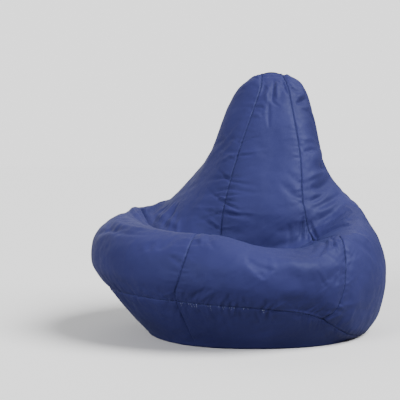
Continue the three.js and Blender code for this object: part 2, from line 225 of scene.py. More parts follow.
def thicken(ob, thickness, offset=-1):
    """Gives a sheet its thickness in metres, inward with an offset of -1 and outward with 1."""
    solid = ob.modifiers.new("cloth", "SOLIDIFY")
    solid.thickness = thickness
    solid.offset = offset


COLUMNS_PER_STRIP = 48
SIM_U = np.linspace(0, 4, 4 * COLUMNS_PER_STRIP + 1)[:-1]
SIM_V = np.concatenate([[-0.9, -0.6, -0.3, -0.1], even_rows(0, TOP, 0.0105)])
PUFF_FRAMES = 16
PUFF_CAP = 0.0028  # how far a fold may stand off the plain skin
PUFF_SMOOTHING = 12  # passes of blur; what they keep is taken off, which leaves folds under about 6 cm
SLACK = 0.06  # how much longer the cloth beside a seam is than the seam
SLACK_AWAY = 0.4  # the share of that slack in the middle of a panel
HANDLE_U, HANDLE_V = 2.5, 9.4
SAG = 0.012  # how far the beads push the cloth out above the floor on the left


def sheet_faces(m, n, same):
    """The faces of the closed grid, where same says which point stands for each."""
    faces = []
    for f in same[quads(m, n, wrap=True)].tolist():
        f = [c for i, c in enumerate(f) if c != f[i - 1]]
        if len(f) > 2:
            faces.append(f)
    return faces


def weights(ob, name, values):
    group = ob.vertex_groups.new(name=name)
    for value in np.unique(values):
        group.add(np.flatnonzero(values == value).tolist(), float(value), "REPLACE")
    return name


def smooth(field, passes):
    """A field on the cover's grid, blurred round the body and up it."""
    for _ in range(passes):
        field = 0.25 * (np.roll(field, 1, 0) + 2 * field + np.roll(field, -1, 0))
        padded = np.concatenate([field[:, :1], field, field[:, -1:]], 1)
        field = 0.25 * (padded[:, :-2] + 2 * padded[:, 1:-1] + padded[:, 2:])
    return field


def sagged(p, u, v):
    """The grid p with the left side rounded out between the floor and the belly."""
    up = np.sin(np.pi * np.interp(v, [0, 0.6, 1, 2, 3], [0, 0.5, 0.7, 0.86, 1]))
    along = np.interp(u, [1.0, 1.4, 2.0, 2.6], [0, 1, 1, 0])
    out = unit((p - p[:, :1]) * (1, 1, 0))
    return p + out * (SAG * (3 - 2 * along) * along**2)[:, None, None] * up[None, :, None]


def off_handle(u, v, reach_u, reach_v):
    """0 where the handle is sewn on, 1 away from it."""
    return 1 - np.exp(-((((u - HANDLE_U) / reach_u) ** 2 + ((v - HANDLE_V) / reach_v) ** 2) ** 2))


def puffed():
    """The cover's grid of points once it has been filled: seams stay short, the cloth between them folds."""
    start = sagged(loft(SIM_U, SIM_V), SIM_U, SIM_V)
    m, n = start.shape[:2]
    flat = start.reshape(-1, 3)
    same = np.arange(m * n)
    crown = np.arange(m) * n + n - 1
    _, first, back = np.unique(np.round(flat[crown], 5), axis=0, return_index=True, return_inverse=True)
    same[crown] = crown[first][back.ravel()]
    used, number = np.unique(same, return_inverse=True)
    number = number.ravel()
    ob = mesh_object("filling", flat[used], sheet_faces(m, n, number))

    u, v = np.meshgrid(SIM_U, SIM_V, indexing="ij")
    off_u = np.abs(u[..., None] - np.arange(5)).min(-1)
    off_v = np.minimum(np.abs(v - HEM), TOP - v)
    off_v = np.where(u <= 1, np.minimum(off_v, np.abs(v - CREASE)), off_v)
    seam = ((off_u < 0.01) & (v >= HEM)) | (off_v < 0.04)
    beside = (off_u < 0.11) | (off_v < 0.35)
    slack = np.where(seam, 0, np.where(beside, 1, SLACK_AWAY))
    hold = np.maximum(0.005, 0.03 * np.exp(-(((v - CREASE) / 0.35) ** 2)))
    hold = np.maximum(hold, np.clip(1 - v / 0.8, 0, 1) ** 2 * 0.5)
    hold = np.where(v <= 0, 1, np.round(hold, 3))

    cloth = ob.modifiers.new("cloth", "CLOTH")
    s = cloth.settings
    s.quality = 5
    s.mass = 0.25
    s.tension_stiffness = s.compression_stiffness = 25
    s.shear_stiffness = 8
    s.bending_stiffness = 0.6
    s.tension_damping = s.compression_damping = s.shear_damping = 8
    s.bending_damping = 0.6
    s.air_damping = 3
    s.vertex_group_mass = weights(ob, "held", hold.reshape(-1)[used])
    s.vertex_group_shrink = weights(ob, "slack", slack.reshape(-1)[used])
    s.shrink_min = 0
    s.shrink_max = -SLACK
    s.use_pressure = True
    s.uniform_pressure_force = 3
    s.effector_weights.gravity = 0
    cloth.collision_settings.use_collision = False
    cloth.point_cache.frame_start = 1
    cloth.point_cache.frame_end = PUFF_FRAMES
    for f in range(1, PUFF_FRAMES + 1):
        bpy.context.scene.frame_set(f)
    done = ob.evaluated_get(bpy.context.evaluated_depsgraph_get()).to_mesh()
    got = np.empty(len(done.vertices) * 3)
    done.vertices.foreach_get("co", got)
    bpy.context.scene.frame_set(1)
    bpy.data.objects.remove(ob, do_unlink=True)

    moved = got.reshape(-1, 3)[number].reshape(m, n, 3) - start
    moved -= smooth(moved, PUFF_SMOOTHING)
    size = np.linalg.norm(moved, axis=-1, keepdims=True)
    moved /= (1 + (size / PUFF_CAP) ** 4) ** 0.25
    end = start + moved * off_handle(u, v, 0.22, 0.9)[..., None]
    end[..., 2] = np.maximum(end[..., 2], 0)
    return end


grid = puffed()
HUB = loft(np.array([0.0]), np.array([-1.0]))[0, 0]


def taps(at, count, wrap=False):
    """Cubic weights that read a line of samples at fractional indexes."""
    i = np.floor(at).astype(int)
    t = at - i
    w = np.zeros((len(at), count))
    cubic = [
        -0.5 * t + t**2 - 0.5 * t**3,
        1 - 2.5 * t**2 + 1.5 * t**3,
        0.5 * t + 2 * t**2 - 1.5 * t**3,
        -0.5 * t**2 + 0.5 * t**3,
    ]
    for k, c in zip((-1, 0, 1, 2), cubic):
        j = (i + k) % count if wrap else np.clip(i + k, 0, count - 1)
        np.add.at(w, (np.arange(len(at)), j), c)
    return w


def skin_taps(u, v):
    wu = taps(u % 4 * COLUMNS_PER_STRIP, len(SIM_U), wrap=True)
    wv = taps(np.interp(v, SIM_V, np.arange(len(SIM_V))), len(SIM_V))
    return wu, wv


def cover(u, v):
    """The filled skin at every pair of u and v."""
    wu, wv = skin_taps(u, np.maximum(v, 0))
    p = np.einsum("ajk,bj->abk", np.tensordot(wu, grid, 1), wv)
    return HUB + (p - HUB) * (1 + np.minimum(v, 0))[None, :, None]


def cover_line(u, v):
    """The filled skin at each u with its own v."""
    wu, wv = skin_taps(u, v)
    return np.einsum("ajk,aj->ak", np.tensordot(wu, grid, 1), wv)


STEP_U, STEP_V = 0.006, 0.02


def slopes(f, u, v):
    """Outward normals of the skin f, worked out from its two directions."""
    du = f(u + STEP_U, v) - f(u - STEP_U, v)
    dv = f(u, np.minimum(v + STEP_V, TOP - 0.01)) - f(u, np.maximum(v - STEP_V, -1))
    return unit(np.cross(dv, du))


# ---------------------------------------------------------------- folds and puckers

FOLD_GAIN = 1.25  # on every depth below
DEEPEST = -12  # of all folds, puckers and seams together, in mm

# Folds in the cloth: depth in mm, where a valley is negative, half-width in mm, and the line it follows.
FOLDS = [
    # The left arm where it meets the back, and the soft crease along its top.
    (-12, 12, [(1.95, 5.2), (1.74, 5.46), (1.62, 5.75), (1.46, 5.93), (1.28, 5.78), (1.16, 5.7)]),
    (-14, 6, [(1.9, 5.25), (1.76, 5.44), (1.64, 5.69), (1.54, 5.84), (1.42, 5.9), (1.28, 5.8)]),
    (10, 11, [(1.86, 5.0), (1.72, 5.22), (1.6, 5.45), (1.5, 5.58), (1.4, 5.6), (1.26, 5.5)]),
    (5, 14, [(1.62, 6.1), (1.48, 6.3), (1.32, 6.35)]),
    (5, 12, [(1.55, 4.95), (1.44, 4.75), (1.33, 4.78), (1.22, 4.95)]),
    (-4, 9, [(1.5, 4.6), (1.4, 4.42), (1.3, 4.48), (1.2, 4.62)]),
    (4, 10, [(1.66, 5.2), (1.56, 5.3), (1.42, 5.4)]),
    (-4, 12, [(1.5, 4.0), (1.4, 4.4), (1.3, 4.75)]),
    (-3, 9, [(1.62, 4.1), (1.56, 4.5), (1.5, 5.0)]),
    # The foot of the back's left side.
    (6, 9, [(1.56, 6.7), (1.52, 6.4), (1.49, 6.1)]),
    (-6, 8, [(1.5, 6.75), (1.46, 6.4), (1.42, 6.1)]),
    (4, 7, [(1.44, 6.6), (1.4, 6.35), (1.37, 6.12)]),
    (-5, 8, [(1.62, 6.5), (1.6, 6.15), (1.5, 5.95)]),
    (3, 7, [(1.36, 6.5), (1.33, 6.3), (1.3, 6.1)]),
    # The top of the back.
    (8, 50, [(1.5, 7.2), (1.45, 8.2), (1.42, 9.2), (1.4, 10.2)]),
    (7, 30, [(1.34, 9.8), (1.26, 10.3), (1.16, 10.6), (1.02, 10.65)]),
    (6, 26, [(3.66, 9.6), (3.7, 10.2), (3.8, 10.55), (3.94, 10.65)]),
    (5, 30, [(3.5, 7.7), (3.5, 8.2), (3.5, 8.8)]),
    (-5, 7, [(1.12, 9.1), (1.0, 9.1), (0.85, 9.14), (0.72, 9.08)]),
    (3.5, 8, [(1.06, 8.85), (0.9, 8.9), (0.75, 8.85)]),
    (-4, 7, [(0.64, 9.3), (0.62, 9.0), (0.56, 8.6)]),
    (-4.5, 7, [(0.48, 10.4), (0.55, 9.8), (0.55, 9.4), (0.32, 9.15)]),
    (4, 8, [(0.36, 10.3), (0.4, 9.8), (0.4, 9.45)]),
    (-5, 7, [(0.14, 10.4), (0.12, 10.0), (0.05, 9.55)]),
    (3, 7, [(0.72, 10.0), (0.75, 9.6), (0.7, 9.3)]),
    (-3, 8, [(0.85, 10.3), (0.88, 9.9), (0.9, 9.5)]),
    # The head's right side, gathered into the crown.
    (-8, 8, [(3.93, 9.25), (3.8, 9.3), (3.64, 9.4)]),
    (5, 8, [(3.9, 9.5), (3.78, 9.55), (3.66, 9.6)]),
    (-5, 6, [(3.97, 10.1), (3.88, 9.8), (3.76, 9.65)]),
    (-4, 6, [(3.9, 10.4), (3.75, 10.1), (3.62, 9.9)]),
    (4, 7, [(3.86, 9.1), (3.74, 9.05), (3.62, 9.1)]),
    (-4, 7, [(3.7, 8.9), (3.6, 8.7), (3.55, 8.5)]),
    # Drag lines down the back's right side.
    (-5, 7, [(3.97, 8.05), (3.85, 8.06), (3.7, 8.0)]),
    (3, 8, [(3.95, 8.3), (3.84, 8.32), (3.7, 8.25)]),
    (-10, 15, [(3.9, 7.35), (3.76, 7.22), (3.6, 7.12), (3.42, 7.05)]),
    (6, 24, [(3.86, 7.9), (3.7, 7.86), (3.5, 7.85)]),
    (5, 9, [(3.94, 7.55), (3.8, 7.55), (3.64, 7.45)]),
    (-6, 8, [(3.92, 7.1), (3.82, 7.05), (3.68, 6.98)]),
    (-5, 8, [(3.72, 7.7), (3.62, 7.52), (3.52, 7.45)]),
    # The right shoulder.
    (-5, 9, [(3.93, 6.9), (3.78, 6.75), (3.62, 6.5), (3.48, 6.3)]),
    (4, 9, [(3.9, 6.7), (3.74, 6.45), (3.58, 6.25)]),
    (-4.5, 9, [(3.93, 6.5), (3.8, 6.3), (3.66, 6.1), (3.54, 5.95)]),
    (-4, 8, [(3.86, 6.1), (3.74, 5.95), (3.62, 5.8)]),
    (-4, 8, [(3.5, 5.7), (3.44, 5.5), (3.4, 5.2)]),
    (3.5, 9, [(3.88, 5.85), (3.74, 5.65), (3.6, 5.55)]),
    (-5, 14, [(3.96, 5.0), (3.88, 4.6), (3.8, 4.15), (3.76, 3.7)]),
    (4, 12, [(3.9, 5.1), (3.8, 4.75), (3.72, 4.3)]),
    # The fan at the foot of the front-right seam.
    (-7, 7, [(0.02, 6.8), (0.06, 6.45), (0.11, 6.15)]),
    (5, 6, [(0.0, 6.72), (0.03, 6.4), (0.07, 6.1)]),
    (-6, 6, [(3.99, 6.7), (0.01 + 4, 6.4), (0.04 + 4, 6.1)]),
    (-6, 7, [(3.96, 6.55), (3.97, 6.2), (3.975, 5.85)]),
    (-4, 8, [(0.2, 6.7), (0.2, 6.4), (0.24, 6.1)]),
    # Arcs over the right end of the seat's roll.
    (-5, 8, [(0.1, 5.5), (0.17, 4.8), (0.27, 4.3)]),
    (4, 7, [(0.08, 5.3), (0.13, 4.75), (0.22, 4.35)]),
    (-5, 7, [(0.05, 5.4), (0.1, 4.85), (0.19, 4.5)]),
    (-4, 6, [(0.1, 5.15), (0.08, 4.75), (0.06, 4.4)]),
    (-4, 6, [(0.05, 5.05), (0.03, 4.8), (0.01, 4.6)]),
    (-3, 9, [(0.2, 5.3), (0.27, 4.8), (0.36, 4.5)]),
    # The hollow under the roll's right end.
    (8, 32, [(0.5, 4.1), (0.34, 3.95), (0.2, 3.85), (0.05, 3.9)]),
    (-11, 32, [(0.42, 2.2), (0.29, 2.0), (0.16, 1.85), (0.04, 1.95)]),
    # The left end of the roll.
    (-3, 8, [(0.93, 5.2), (0.9, 4.7), (0.86, 4.4)]),
    (3, 7, [(0.97, 5.1), (0.95, 4.7), (0.93, 4.4)]),
    (-3, 7, [(1.06, 4.0), (1.02, 3.85), (0.99, 3.8)]),
    (-2.5, 9, [(0.7, 4.3), (0.6, 3.9), (0.5, 3.7)]),
    # Above and below the hem.
    (-6, 8, [(0.9, 1.3), (0.87, 2.0), (0.84, 2.6)]),
    (4, 8, [(0.84, 1.4), (0.81, 2.0), (0.78, 2.5)]),
    (-4, 7, [(0.65, 1.3), (0.68, 1.8), (0.7, 2.3)]),
    (-4, 7, [(0.56, 1.3), (0.59, 1.8), (0.62, 2.2)]),
    (-4, 7, [(0.43, 1.3), (0.46, 1.7), (0.49, 2.1)]),
    (-5, 9, [(0.87, 0.92), (0.86, 0.7), (0.845, 0.45)]),
    (3, 9, [(0.8, 0.9), (0.79, 0.7), (0.78, 0.5)]),
    (-4, 8, [(0.74, 0.92), (0.71, 0.7), (0.68, 0.5)]),
    (-3.5, 6, [(0.6, 0.94), (0.59, 0.8), (0.58, 0.68)]),
    (-3.5, 6, [(0.5, 0.94), (0.485, 0.8), (0.47, 0.64)]),
    (-3.5, 6, [(0.42, 0.94), (0.41, 0.8), (0.4, 0.7)]),
]


def through(points, count):
    """A smooth line through the points, as count of them."""
    p = np.array(points, float)
    p = np.concatenate([2 * p[:1] - p[1:2], p, 2 * p[-1:] - p[-2:-1]])
    t = np.linspace(0, len(points) - 1, count)
    i = np.minimum(t.astype(int), len(points) - 2)
    return catmull_rom(*(p[i + k] for k in range(4)), (t - i)[:, None])


def fold_lines():
    made = []
    for depth, width, points in FOLDS:
        uv = through(points, 25)
        p = cover_line(uv[:, 0], uv[:, 1])
        out = np.array([slopes(cover, np.array([a]), np.array([b]))[0, 0] for a, b in uv[::8]])
        made.append((FOLD_GAIN * depth, width / 1000, p, out.mean(0)))
    return made


FOLD_LINES = fold_lines()


def fold_height(p, n):
    """How far the folds lift a grid of points with those normals, in mm."""
    h = np.zeros(p.shape[:2])
    for depth, width, line, out in FOLD_LINES:
        low, high = line.min(0) - 3 * width, line.max(0) + 3 * width
        near = ((p > low) & (p < high)).all(-1) & ((n @ out) > 0.1)
        if not near.any():
            continue
        q = p[near]
        best, along = np.full(len(q), np.inf), np.zeros(len(q))
        for k, (a, b) in enumerate(zip(line, line[1:])):
            t = np.clip((q - a) @ (b - a) / ((b - a) @ (b - a)), 0, 1)
            d = np.linalg.norm(q - a - t[:, None] * (b - a), axis=1)
            closer = d < best
            best[closer], along[closer] = d[closer], (k + t[closer]) / (len(line) - 1)
        x = best / (width * (0.55 + 0.6 * np.sin(np.pi * along)))
        h[near] += depth * (np.exp(-(x**2)) - 0.3 * np.exp(-((x / 2.1) ** 2))) * np.sin(np.pi * along) ** 0.6
    return h


RIGHT, LEFT, REAR_LEFT, REAR_RIGHT = ("u", 0), ("u", 1), ("u", 2), ("u", 3)
HEM_SEAM, CREASE_SEAM, CROWN_SEAM, JOINT = ("v", HEM), ("v", CREASE), ("v", TOP), ("v", -1)

# How hard the cloth is gathered along each seam, as (place along it, strength) from one end to the other. A seam
# that runs up the body has a fixed u, and one that runs round it a fixed v.
GATHERS = {
    RIGHT: [(1, 0.6), (3, 0.7), (4.6, 1.3), (6.8, 1.1), (7.4, 0.7), (9, 0.7), (9.6, 1.3), (11, 1.5)],
    LEFT: [(1, 0.7), (3, 0.8), (4.4, 0.8), (6, 2.3), (7.8, 2.1), (8.4, 0.8), (9.3, 0.7), (11, 1.4)],
    REAR_LEFT: [(1, 0.8), (3, 0.7), (3.3, 0.1), (4.05, 0.1), (4.4, 0.7), (5, 0.7), (6.5, 1.2), (8, 1.0), (11, 1.3)],
    REAR_RIGHT: [(1, 0.8), (5, 0.7), (6.5, 1.2), (8, 1.0), (11, 1.3)],
    HEM_SEAM: [(0, 0.9), (0.35, 1.2), (0.9, 1.6), (1.2, 1), (2, 1), (4, 0.9)],
    CREASE_SEAM: [(0, 1), (0.5, 0.8), (1, 1)],
    CROWN_SEAM: [(0, 1), (0.5, 0.8), (1, 1), (2, 0.8), (3, 0.8), (4, 1)],
}
PUCKER_SPACING = 0.0145
# How far the short seam on the crown is drawn down, in mm, and how widely, in metres; then the cloth at both of its
# ends, in metres.
CROWN_DEPTH, CROWN_REACH = 1.4, 0.004
CORNER_DEPTH, CORNER_REACH = 0.006, 0.016
CLOTH_THICKNESS = 0.0012
GROOVE, PILLOW = 3.0, 1.8  # how deep a seam is drawn in, and the rounded cloth beside it, in mm


def seam_ruler(kind, at):
    """Places along a seam and the arc length up to each, in metres."""
    if kind == "u":
        along = np.linspace(HEM, TOP, 700)
        p = cover_line(np.full(700, float(at)), along)
    else:
        along = np.linspace(0, 4, 1200)
        p = cover_line(along, np.full(1200, float(min(at, TOP - 0.02))))
    return along, length_up_to(p)


def gather(kind, at):
    """A seam's ruler and its puckers: place, width, reach on each side, height, slant and side lengths."""
    along, length = seam_ruler(kind, at)
    r = np.random.default_rng(40 + int(at) + (20 if kind == "v" else 0))
    count = int(length[-1] / PUCKER_SPACING)
    place = np.sort(r.uniform(0, length[-1], count))
    strength = np.interp(np.interp(place, length, along), *np.array(GATHERS[kind, at], float).T)
    return {
        "along": along,
        "length": length,
        "place": place,
        "width": r.uniform(0.0024, 0.0052, count),
        "reach": r.uniform(0.012, 0.03, (2, count)) * (0.6 + 0.7 * strength) * r.choice([1, 1, 1.7], count),
        "height": r.uniform(1.0, 3.6, count) * strength * r.choice([-1, -1, 1], count),
        "slant": r.normal(0, 0.28, (2, count)),
    }


SEAMS = {key: gather(*key) for key in GATHERS}


def pucker_height(seam, side, along, off):
    """How far a seam's puckers lift points at a place along it and a distance off it, in mm."""
    s = np.interp(along, seam["along"], seam["length"])
    h = np.zeros(off.shape)
    for k, place in enumerate(seam["place"]):
        reach, slant = seam["reach"][side, k], seam["slant"][side, k]
        near = (np.abs(s - place) < 0.02 + 2 * abs(slant) * reach) & (off < 2.2 * reach)
        if not near.any():
            continue
        d = off[near]
        wide = seam["width"][k] * (1 + 0.9 * d / reach)
        x = (s[near] - place - slant * d) / wide
        fade = np.exp(-((d / reach) ** 2)) * (0.35 + 0.65 * (1 - np.exp(-d / 0.004)))
        h[near] += seam["height"][k] * fade * (np.exp(-(x**2)) - 0.35 * np.exp(-((x / 2) ** 2)))
    return h


def crinkle_height(p, v):
    """Shallow creases all over the coated cloth, in mm."""
    r = np.random.default_rng(11)
    h = np.zeros(p.shape[:2])
    for wavelength in (0.1, 0.08, 0.065, 0.052, 0.042, 0.034):
        for _ in range(4):
            k = unit(r.normal(size=3)) * 2 * np.pi / wavelength
            bend = unit(r.normal(size=3)) * 2 * np.pi / (wavelength * 2.7)
            phase = p @ k + 1.6 * np.sin(p @ bend + r.uniform(0, 6.3)) + r.uniform(0, 6.3)
            h += wavelength * (0.6 - np.abs(np.sin(phase / 2))) * np.sin(p @ bend * 0.7 + r.uniform(0, 6.3))
    # Most at the hem and round the crown, least halfway up the back.
    return 10.0 * h * np.interp(v, [0, 1, 3, 5, 6, 8, 10, 11], [0.8, 1.2, 1, 0.9, 0.8, 0.6, 0.9, 1.2])


# ---------------------------------------------------------------- panels


def edge_steps(length, spacing):
    """Positions along a panel from 0 to 1, close together at both sewn edges."""
    near = np.array([0, 0.9, 1.9, 3.0, 4.4, 6.2, 8.6, 11.6]) / 1000 / length
    count = max(4, round(length * (1 - 2 * near[-1]) / spacing))
    middle = np.linspace(near[-1], 1 - near[-1], count + 1)[1:-1]
    return np.concatenate([near, middle, (1 - near)[::-1]])


def panel_grid(u0, u1, v0, v1, spacing):
    p = loft(np.linspace(u0, u1, 9), np.linspace(v0, v1, 60))
    along_u = np.linalg.norm(np.diff(p, axis=0), axis=-1).sum(0)
    along_v = np.linalg.norm(np.diff(p, axis=1), axis=-1).sum(1).mean()
    u = u0 + (u1 - u0) * edge_steps(np.percentile(along_u, 75), spacing)
    fine = np.linspace(v0, v1, 400)
    length = length_up_to(loft(np.linspace(u0, u1, 9), fine))
    v = np.interp(edge_steps(along_v, spacing) * length[-1], length, fine)
    return u, v


def arc(p, axis):
    """Arc length from the first line of points, in metres."""
    steps = np.linalg.norm(np.diff(p, axis=axis), axis=-1)
    return np.concatenate([np.zeros_like(np.take(steps, [0], axis)), np.cumsum(steps, axis)], axis)


CROWN_ENDS = crown_points(np.array([0.0, 1.0])) / 1000 + ORIGIN


def crown_distance(p):
    """How far points lie from the short seam on the crown, in metres."""
    a, b = CROWN_ENDS
    t = np.clip((p - a) @ (b - a) / ((b - a) @ (b - a)), 0, 1)
    return np.linalg.norm(p - a - t[..., None] * (b - a), axis=-1)


def cloth_height(p, n, u, v, edges):
    """How far the seams, puckers, folds and creases lift a panel's grid off the skin, in mm."""
    across, up = arc(p, 0), arc(p, 1)
    off = {"start": across, "end": across[-1:] - across, "low": up, "high": up[:, -1:] - up}
    uu, vv = np.meshgrid(u, v, indexing="ij")
    nearest = np.full(p.shape[:2], 1.0)
    h = np.zeros(p.shape[:2])
    for side, (edge, key) in enumerate(edges.items()):
        d = off[edge]
        nearest = np.minimum(nearest, d)
        if key != CROWN_SEAM:
            h -= GROOVE * np.exp(-((d / 0.0024) ** 2)) + PILLOW * np.exp(-((d / 0.012) ** 2))
        if key in SEAMS:
            h += pucker_height(SEAMS[key], side % 2, vv if key[0] == "u" else uu % 4, d)
    calm = 1 - np.exp(-((nearest / 0.006) ** 2))
    h += calm * (fold_height(p, n) + crinkle_height(p, v))
    floor = np.clip(vv / 0.6, 0, 1)
    crown = 1 - np.exp(-((crown_distance(p) / 0.009) ** 2))
    return np.maximum(h * off_handle(uu, vv, 0.17, 0.6) * floor * crown, DEEPEST)


foot = loft(np.array([1.0]), np.array([0.0]))[0, 0] - HUB
ZIP_X = unit(np.array([foot[0], foot[1], 0]))
ZIP_Y = np.array([-ZIP_X[1], ZIP_X[0], 0])
ZIP_LENGTH = 0.4
ZIP_SLOT, ZIP_MARGIN = 0.0066, 0.04  # half the slot's width, and the cloth that is drawn back with it


def in_zip_frame(x, y, z):
    """Points of the zip, given in millimetres along it, across it and up."""
    x, y, z = (np.asarray(a, float)[..., None] / 1000 for a in np.broadcast_arrays(x, y, z))
    return HUB + x * ZIP_X + y * ZIP_Y + z * np.array([0, 0, 1.0])


def clear_of_zip(p, side):
    """Draws the edge of half the base back from the zip. side is 1 for the front half, -1 for the rear one."""
    x, y = (p - HUB) @ ZIP_X, (p - HUB) @ ZIP_Y * side
    slot = np.maximum(ZIP_SLOT * np.clip((ZIP_LENGTH / 2 + 0.012 - np.abs(x)) / 0.012, 0, 1), 0.0005)
    shift = np.where(p[..., 2] < 0.003, slot * np.clip(1 - y / ZIP_MARGIN, 0, 1), 0)
    return p + (shift * side)[..., None] * ZIP_Y


def cover_panel(name, nodes, u_range, v_range, spacing=0.0042, **edges):
    u, v = panel_grid(*u_range, *v_range, spacing)
    p, n = cover(u, v), slopes(cover, u, v)
    sunk = CROWN_DEPTH / 1000 * np.exp(-((crown_distance(p) / CROWN_REACH) ** 2))
    for corner in CROWN_ENDS:
        sunk = sunk + CORNER_DEPTH * np.exp(-((np.linalg.norm(p - corner, axis=-1) / CORNER_REACH) ** 2))
    p = p + n * cloth_height(p, n, u, v, edges)[..., None] / 1000
    p[..., 2] = np.maximum(p[..., 2] - sunk, 0)
    if v_range[0] < 0:
        p = clear_of_zip(p, 1 if u_range[0] == 3 else -1)
    ob = mesh_object(name, p, quads(len(u), len(v)))
    thicken(ob, CLOTH_THICKNESS)
    dress(ob, NYLON, replaces=nodes)


# ---------------------------------------------------------------- materials


def material(name, base, roughness, metallic=0.0):
    mat = bpy.data.materials.new(name)
    mat.use_nodes = True
    bsdf = mat.node_tree.nodes["Principled BSDF"]
    bsdf.inputs["Base Color"].default_value = (*base, 1)
    bsdf.inputs["Roughness"].default_value = roughness
    bsdf.inputs["Metallic"].default_value = metallic
    return mat, mat.node_tree, bsdf


def node(tree, kind, inputs=None, **settings):
    n = tree.nodes.new(kind)
    for key, value in settings.items():
        setattr(n, key, value)
    for key, value in (inputs or {}).items():
        if isinstance(value, bpy.types.NodeSocket):
            tree.links.new(value, n.inputs[key])
        else:
            n.inputs[key].default_value = value
    return n


def math_node(tree, operation, *values):
    return node(tree, "ShaderNodeMath", dict(enumerate(values)), operation=operation).outputs[0]


def place(tree):
    return node(tree, "ShaderNodeTexCoord").outputs["Object"]


def noise(tree, scale, detail=3.0, rough=0.5, at=None):
    at = at or place(tree)
    inputs = {"Vector": at, "Scale": scale, "Detail": detail, "Roughness": rough}
    return node(tree, "ShaderNodeTexNoise", inputs).outputs["Fac"]


def weave(tree, pitch):
    """Threads that cross over and under each other, on whichever plane the surface faces most."""
    xyz = node(tree, "ShaderNodeSeparateXYZ", {0: place(tree)}).outputs
    facing = node(tree, "ShaderNodeTexCoord").outputs["Normal"]
    n = node(tree, "ShaderNodeSeparateXYZ", {0: facing}).outputs
    wave = [math_node(tree, "SINE", math_node(tree, "MULTIPLY", a, math.pi / pitch)) for a in xyz]
    total = None
    for a, b, c in ((0, 1, 2), (1, 2, 0), (2, 0, 1)):
        share = math_node(tree, "POWER", math_node(tree, "ABSOLUTE", n[c]), 4.0)
        cell = math_node(tree, "MULTIPLY", math_node(tree, "MULTIPLY", wave[a], wave[b]), share)
        total = cell if total is None else math_node(tree, "ADD", total, cell)
    return total


def bump(tree, bsdf, *layers):
    """Each layer is a height, how deep it is in metres, and its strength."""
    normal = None
    for height, distance, strength in layers:
        inputs = {"Height": height, "Distance": distance, "Strength": strength}
        if normal is not None:
            inputs["Normal"] = normal
        normal = node(tree, "ShaderNodeBump", inputs).outputs["Normal"]
    tree.links.new(normal, bsdf.inputs["Normal"])


def ramp(tree, fac, *stops):
    n = node(tree, "ShaderNodeValToRGB", {"Fac": fac})
    elements = n.color_ramp.elements
    while len(elements) < len(stops):
        elements.new(0.5)
    for e, (position, colour) in zip(elements, stops):
        e.position = position
        e.color = (*colour, 1) if hasattr(colour, "__len__") else (colour, colour, colour, 1)
    return n.outputs["Color"]


def nylon(name, base):
    mat, tree, bsdf = material(name, base, 0.55)
    patches = noise(tree, 5.0, 2.0)
    darker, lighter = [c * 0.9 for c in base], [c * 1.1 for c in base]
    tree.links.new(ramp(tree, patches, (0.35, darker), (0.65, lighter)), bsdf.inputs["Base Color"])
    scuff = noise(tree, 60.0, 4.0, 0.6)
    tree.links.new(ramp(tree, scuff, (0.3, 0.5), (0.7, 0.62)), bsdf.inputs["Roughness"])
    bsdf.inputs["Specular IOR Level"].default_value = 0.22
    bsdf.inputs["Specular Tint"].default_value = (0.5, 0.6, 1, 1)
    bsdf.inputs["Sheen Weight"].default_value = 0.06
    bsdf.inputs["Sheen Roughness"].default_value = 0.4
    bsdf.inputs["Sheen Tint"].default_value = (0.35, 0.45, 1, 1)
    crinkle = node(
        tree, "ShaderNodeTexNoise", {"Vector": place(tree), "Scale": 34.0, "Detail": 3.0, "Roughness": 0.55}
    )
    crinkle.noise_type = "RIDGED_MULTIFRACTAL"
    lean = node(tree, "ShaderNodeVectorRotate", {"Vector": place(tree), "Angle": 0.6}, rotation_type="Y_AXIS")
    drawn = node(tree, "ShaderNodeVectorMath", {0: lean.outputs[0], 1: (16.0, 30.0, 62.0)}, operation="MULTIPLY")
    bump(
        tree,
        bsdf,
        (crinkle.outputs["Fac"], 0.0012, 0.3),
        (noise(tree, 1.0, 3.0, 0.5, at=drawn.outputs[0]), 0.0026, 0.5),
        (noise(tree, 150.0, 3.0, 0.6), 0.0005, 0.3),
        (weave(tree, 0.0007), 0.00014, 0.7),
    )
    return mat


NYLON = nylon("blue_nylon", (0.029, 0.031, 0.124))


def plain_cloth(name, base, pitch, roughness=0.8):
    mat, tree, bsdf = material(name, base, roughness)
    tint = noise(tree, 40.0, 3.0)
    shades = [[c * k for c in base] for k in (0.85, 1.15)]
    tree.links.new(ramp(tree, tint, (0.35, shades[0]), (0.65, shades[1])), bsdf.inputs["Base Color"])
    bump(tree, bsdf, (weave(tree, pitch), pitch * 0.3, 0.8), (noise(tree, 400.0), 0.0002, 0.3))
    return mat


THREAD = plain_cloth("thread", (0.05, 0.07, 0.22), 0.0004)
PALE_THREAD = plain_cloth("pale_thread", (0.3, 0.34, 0.5), 0.0004)
LINER = plain_cloth("nonwoven_liner", (0.72, 0.72, 0.7), 0.0024)
TAPE = plain_cloth("zip_tape_cloth", (0.016, 0.022, 0.075), 0.0006)
WEBBING = plain_cloth("webbing_cloth", (0.022, 0.03, 0.11), 0.0013, 0.6)
LABEL = plain_cloth("label_satin", (0.75, 0.75, 0.72), 0.0005, 0.4)


def beads():
    mat, tree, bsdf = material("polystyrene_beads", (0.86, 0.86, 0.85), 0.7)
    cells = node(tree, "ShaderNodeTexVoronoi", {"Vector": place(tree), "Scale": 230.0})
    bump(tree, bsdf, (math_node(tree, "MULTIPLY", cells.outputs["Distance"], -1.0), 0.003, 1.0))
    # Painted shade: the base colour is darker towards each cell's edge, where the beads meet.
    shade = ramp(tree, cells.outputs["Distance"], (0.3, 0.84), (0.9, 0.5))
    tree.links.new(shade, bsdf.inputs["Base Color"])
    return mat


